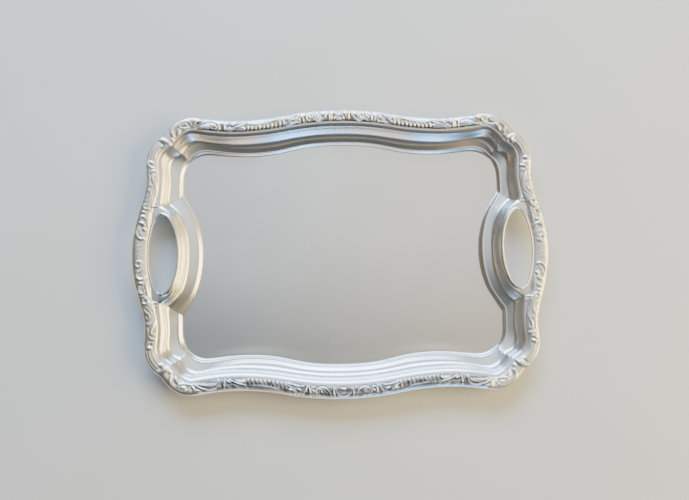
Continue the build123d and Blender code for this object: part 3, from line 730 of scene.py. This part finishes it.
def tray_pan():
    rings = []
    F = ring_at(FLOOR_IN)
    # the floor turns up very slightly before the wall, most where the wall waves inwards
    bulge = 0.10 + 0.22 * np.exp(-((np.abs(F[:, 0]) - 100.0) / 38.0) ** 2) * smooth(np.abs(F[:, 1]), 80, 100)
    for a in (0.04, 0.10, 0.18, 0.28, 0.40, 0.53, 0.67, 0.80, 0.88, 0.92, 0.945, 0.965, 0.98, 0.99):
        rings.append(np.column_stack([F * a, 1.2 + bulge * smooth(a, 0.91, 1.0)]))
    for k, z in PROFILE:
        fade = float(np.clip((0.3 - k) / 0.6, 0, 1))
        rings.append(np.column_stack([ring_at(k), z + bulge * fade]))
    T = np.array(rings)                              # rings x NR x 3
    nt = len(T)
    # under side: the top moved along its normals by the sheet's thickness
    dr = np.gradient(T, axis=0)
    dc = (np.roll(T, -1, axis=1) - np.roll(T, 1, axis=1)) / 2
    nrm = np.cross(dr, dc)
    nrm /= np.linalg.norm(nrm, axis=2, keepdims=True)
    nrm *= np.sign(nrm[..., 2:3] + 1e-12)
    pick = list(range(0, 14, 2)) + list(range(14, nt - 10, 2)) + [nt - 10]
    U = (T - nrm * SHEET)[pick]
    U[..., 2] = np.clip(U[..., 2], 0.0, FLANGE - SHEET)
    last = U[-1].copy()
    out = nrm[nt - 10][:, :2]
    out = -out / (np.linalg.norm(out, axis=1, keepdims=True) + 1e-9)
    last[:, :2] = T[nt - 10][:, :2] + out * 1.9
    last[:, 2] = FLANGE - SHEET
    U = np.concatenate([U, last[None]])
    nu = len(U)
    verts = [T.reshape(-1, 3), U.reshape(-1, 3)]
    count = nt * NR + nu * NR
    faces = [grid_faces(nt, NR, wrap_cols=True), grid_faces(nu, NR, wrap_cols=True, flip=True, offset=nt * NR)]
    # middle of the floor
    verts.append(np.array([[0, 0, 1.2], [0, 0, 0]]))
    c_top, c_bot = count, count + 1
    count += 2
    i = np.arange(NR)
    j = (i + 1) % NR
    faces.append(np.stack([np.full(NR, c_top), j, i], 1))
    faces.append(np.stack([np.full(NR, c_bot), nt * NR + i, nt * NR + j], 1))
    # outer loop and slot loops, top and bottom
    u1 = np.linspace(-long_edge.half, long_edge.half, 360)
    u2 = np.linspace(-end_edge.half, end_edge.half, 250)
    s1, s2 = inset(long_edge, u1, np.full(360, 1.6)), inset(end_edge, u2, np.full(250, 1.6))
    outer = np.vstack([s1[:-1], s2[:-1], -s1[:-1], -s2[:-1]])
    slot = cubic(SLOT + [(x, -y) for x, y in reversed(SLOT[1:-1])], 161, closed=True)[:-1]
    dn = np.roll(slot, -1, 0) - np.roll(slot, 1, 0)
    dn = np.stack([dn[:, 1], -dn[:, 0]], 1) / np.linalg.norm(dn, axis=1, keepdims=True)
    slot_r = slot + dn * 0.75
    slot_l = (slot_r * [-1, 1])
    loops = [outer, slot_r, slot_l]
    ids = []
    for zz in (FLANGE, FLANGE - SHEET):
        row = []
        for lp in loops:
            verts.append(np.column_stack([lp, np.full(len(lp), zz)]))
            row.append(np.arange(count, count + len(lp)))
            count += len(lp)
        ids.append(row)
    V = np.vstack(verts)

    def inside(P, loop):
        a, b = loop, np.roll(loop, -1, 0)
        c = (a[None, :, 1] > P[:, None, 1]) != (b[None, :, 1] > P[:, None, 1])
        with np.errstate(divide="ignore", invalid="ignore"):
            x = (b[None, :, 0] - a[None, :, 0]) * (P[:, None, 1] - a[None, :, 1]) / (b[None, :, 1] - a[None, :, 1]) + a[None, :, 0]
        return (np.sum(c & (P[:, None, 0] < x), axis=1) % 2) == 1

    for level, (row, ring_ids) in enumerate(((ids[0], (nt - 1) * NR + i), (ids[1], nt * NR + (nu - 1) * NR + i))):
        sets = [ring_ids] + row
        allid = np.concatenate(sets)
        pts = V[allid, :2]
        edges, base = [], 0
        for s in sets:
            m = len(s)
            edges += [(base + q, base + (q + 1) % m) for q in range(m)]
            base += m
        res = delaunay_2d_cdt([Vector(p) for p in pts], edges, [], 0, 1e-6)
        tri = np.array([f for f in res[2] if len(f) == 3])
        back = np.array([o[0] if o else -1 for o in res[3]])
        if (back < 0).any():
            raise RuntimeError("flange loops cross")
        tri = back[tri]
        mid = pts[tri].mean(1)
        keep = inside(mid, pts[len(sets[0]):len(sets[0]) + len(sets[1])]) & ~inside(mid, pts[:len(sets[0])])
        base = len(sets[0]) + len(sets[1])
        for s in sets[2:]:
            keep &= ~inside(mid, pts[base:base + len(s)])
            base += len(s)
        tri = tri[keep]
        a, b, c = pts[tri[:, 0]], pts[tri[:, 1]], pts[tri[:, 2]]
        area = (b[:, 0] - a[:, 0]) * (c[:, 1] - a[:, 1]) - (b[:, 1] - a[:, 1]) * (c[:, 0] - a[:, 0])
        up = area > 0
        if level == 1:
            up = ~up
        tri = np.where(up[:, None], tri, tri[:, ::-1])
        faces.append(allid[tri])
    # edges of the sheet
    for kk, lp in enumerate(loops):
        t, b = ids[0][kk], ids[1][kk]
        m = len(lp)
        q = np.arange(m)
        f = np.stack([t[q], t[(q + 1) % m], b[(q + 1) % m], b[q]], 1)
        # outward for the clockwise outer loop, inward for the slots
        a2 = np.sum(lp[:, 0] * np.roll(lp[:, 1], -1) - np.roll(lp[:, 0], -1) * lp[:, 1])
        cw = a2 < 0
        flip = (not cw) if kk == 0 else cw
        faces.append(f[:, ::-1] if flip else f)
    return build("tray_pan_sheet", V, faces, None, 50, ("tray_pan",), pan_mat)


def collar(name, side, node):
    slot = cubic(SLOT + [(x, -y) for x, y in reversed(SLOT[1:-1])], 421, closed=True)[:-1]
    dn = np.roll(slot, -1, 0) - np.roll(slot, 1, 0)
    dn = np.stack([dn[:, 1], -dn[:, 0]], 1) / np.linalg.norm(dn, axis=1, keepdims=True)
    # a full rim on the side of the well, a thin lip on the side of the border
    wide = 1.9 + 1.9 * smooth(-dn[:, 0], -0.7, 0.6)
    low = 0.4 + 0.6 * smooth(-dn[:, 0], -0.7, 0.3)
    prof = [(0.0, 18.1), (0.0, 20.6), (0.10, 21.1), (0.32, 21.5), (0.62, 21.72), (1.0, 21.8), (1.45, 21.74), (1.9, 21.55),
            (2.3, 21.25), (2.65, 20.85), (2.88, 20.45), (3.0, 20.15), (3.0, 20.0), (0.72, 20.0), (0.72, 18.1), (0.58, 17.85), (0.14, 17.85)]
    V = []
    for o, z in prof:
        w = np.where(o > 1.0, 1.0 + (o - 1.0) * (wide - 1.0) / 2.0, o)
        rise = np.where(z > 20.15, 20.15 + (z - 20.15) * low, z)
        V.append(np.column_stack([slot + dn * w[:, None] if np.ndim(w) else slot + dn * w, rise * np.ones(len(slot))]))
    V = np.array(V)
    f = grid_faces(len(prof), len(slot), wrap_rows=True, wrap_cols=True, flip=False)
    verts = V.reshape(-1, 3) * [side, 1, 1]
    if side < 0:
        f = f[:, ::-1]
    return build(name, verts, [f], None, 62, (node,), collar_mat)


tray_pan()
uL, uH = u_at_x(LONG_X), -u_at_y(HANDLE_Y)
# the back piece gets lighter recesses and a painted shade line along its inner foot; the front piece gets strong
# painted shade in its hollows and recesses
border("relief_long_back", [(long_edge, -uL, uL)], ("long_border_back",), long_mat, dark=0.5, foot=0.75)
border("relief_long_front", [(long_edge, -uL, uL)], ("long_border_front",), long_mat, (1, -1), dark=2.0)
border("relief_handle_right", [(end_edge, -uH, uH)], ("handle_border_right",), border_mat)
border("relief_handle_left", [(end_edge, -uH, uH)], ("handle_border_left",), border_mat, turn=True)
for fy, ny in ((1, "back"), (-1, "front")):
    for fx, nx in ((1, "right"), (-1, "left")):
        border(f"relief_corner_{ny}_{nx}", [(long_edge, uL, long_edge.half), (end_edge, -end_edge.half, -uH)],
               (f"corner_mount_{ny}_{nx}",), border_mat, (fx, fy))
collar("collar_right", 1, "slot_collar_right")
collar("collar_left", -1, "slot_collar_left")

# every mesh faces outwards
for ob in [o for o in bpy.context.scene.objects if o.type == "MESH" and "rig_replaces" in o]:
    me = ob.data
    co = np.zeros(len(me.vertices) * 3)
    me.vertices.foreach_get("co", co)
    co = co.reshape(-1, 3)
    me.calc_loop_triangles()
    tv = np.zeros(len(me.loop_triangles) * 3, np.int32)
    me.loop_triangles.foreach_get("vertices", tv)
    a, b, c = co[tv.reshape(-1, 3).T]
    if np.einsum("ij,ij->i", a, np.cross(b, c)).sum() < 0:
        me.flip_normals()

# ------------------------------------------------------------ camera and stage
rx, ry, rz = -0.1163248, 0.0179194, 0.0195117
cx, sx, cy, sy, cz, sz = math.cos(rx), math.sin(rx), math.cos(ry), math.sin(ry), math.cos(rz), math.sin(rz)
Rx = np.array([[1, 0, 0], [0, cx, -sx], [0, sx, cx]])
Ry = np.array([[cy, 0, sy], [0, 1, 0], [-sy, 0, cy]])
Rz = np.array([[cz, -sz, 0], [sz, cz, 0], [0, 0, 1]])
R = Rz @ Rx @ Ry
m = np.eye(4)
m[:3, :3] = R.T
m[:3, 3] = np.array([-10.9452, -94.9276, 822.6806 + 20.0]) * MM
cam_data = bpy.data.cameras.new("camera")
cam_data.sensor_fit = "HORIZONTAL"
cam_data.sensor_width = 36.0
cam_data.lens = 750.0 / 689.0 * 36.0
cam_data.clip_start = 0.01
cam = bpy.data.objects.new("camera", cam_data)
cam.matrix_world = Matrix(m.tolist())
bpy.context.scene.collection.objects.link(cam)
bpy.context.scene.camera = cam

floor_mat = Nodes("pale_floor")
col = floor_mat.mix(floor_mat.ramp(floor_mat.noise(3.0, 3), 0.3, 0.7), (0.70, 0.69, 0.67, 1), (0.74, 0.73, 0.71, 1))
floor_mat.put(floor_mat.bsdf.inputs["Base Color"], col)
floor_mat.bsdf.inputs["Roughness"].default_value = 0.6
floor = build("floor", np.array([[-3000, -3000, -0.05], [3000, -3000, -0.05], [3000, 3000, -0.05], [-3000, 3000, -0.05]]),
              [np.array([[0, 1, 2, 3]])], None, 60, (), floor_mat.mat)


def area(name, loc, target, size, power, colour):
    d = bpy.data.lights.new(name, "AREA")
    d.shape = "RECTANGLE"
    d.size, d.size_y = size
    d.energy = power
    d.color = colour
    o = bpy.data.objects.new(name, d)
    o.location = loc
    o.rotation_euler = (Vector(target) - Vector(loc)).to_track_quat("-Z", "Y").to_euler()
    bpy.context.scene.collection.objects.link(o)
    return o


# Plain studio rig: softboxes round the tray and a soft dome that is brighter on one side.
area("softbox_back", (-0.15, 2.2, 1.5), (0, 0, 0), (2.4, 1.1), 150, (0.44, 0.68, 1.0))
area("softbox_right", (2.0, -0.1, 1.3), (0, 0, 0), (1.8, 1.3), 85, (1.0, 0.755, 0.31))
area("softbox_front", (0.42, -2.2, 0.55), (0, 0, 0), (0.5, 0.75), 14, (0.18, 0.52, 1.0))
area("softbox_front_left", (-0.30, -2.2, 0.55), (0, 0, 0), (0.5, 0.75), 4, (1.0, 0.72, 0.44))
area("softbox_top", (0.12, 0.7, 2.4), (0, 0, 0), (2.0, 1.4), 8, (0.95, 0.97, 1.0))

world = bpy.data.worlds.new("world")
bpy.context.scene.world = world
world.use_nodes = True
wt = world.node_tree
wt.nodes.clear()
w_out, w_bg, w_dir = wt.nodes.new("ShaderNodeOutputWorld"), wt.nodes.new("ShaderNodeBackground"), wt.nodes.new("ShaderNodeTexCoord")
wt.links.new(w_bg.outputs[0], w_out.inputs[0])


def towards(x, y, z, low, high):
    """0 to 1 as a direction turns towards (x, y, z)."""
    dot = wt.nodes.new("ShaderNodeVectorMath")
    dot.operation = "DOT_PRODUCT"
    wt.links.new(w_dir.outputs["Generated"], dot.inputs[0])
    dot.inputs[1].default_value = Vector((x, y, z)).normalized()
    r = wt.nodes.new("ShaderNodeMapRange")
    r.interpolation_type = "SMOOTHSTEP"
    wt.links.new(dot.outputs["Value"], r.inputs["Value"])
    r.inputs["From Min"].default_value, r.inputs["From Max"].default_value = low, high
    return r.outputs[0]


def blend(fac, a, b):
    mx = wt.nodes.new("ShaderNodeMix")
    mx.data_type = "RGBA"
    wt.links.new(fac, mx.inputs[0])
    for sock, v in ((mx.inputs[6], a), (mx.inputs[7], b)):
        if isinstance(v, bpy.types.NodeSocket):
            wt.links.new(v, sock)
        else:
            sock.default_value = (*v, 1)
    return mx.outputs[2]


side = blend(towards(1, 0, 0, -0.5, 0.5), (0.185, 0.148, 0.086), (0.60, 0.49, 0.23))      # left, right
dome = blend(towards(0.15, -1, 0.25, 0.05, 0.75), side, (0.07, 0.08, 0.095))              # dimmer at the front
ceiling = blend(towards(1, 0, 0, -0.25, 0.25), (0.20, 0.285, 0.385), (0.47, 0.395, 0.205))
overhead = blend(towards(1, 0, 0, -0.4, 0.4), (0.085, 0.155, 0.25), (0.38, 0.305, 0.125))
dome = blend(towards(0, 0, 1, 0.89, 0.985), dome, overhead)
dome = blend(towards(0.12, 0.27, 1, 0.89, 0.995), dome, ceiling)
wt.links.new(dome, w_bg.inputs[0])
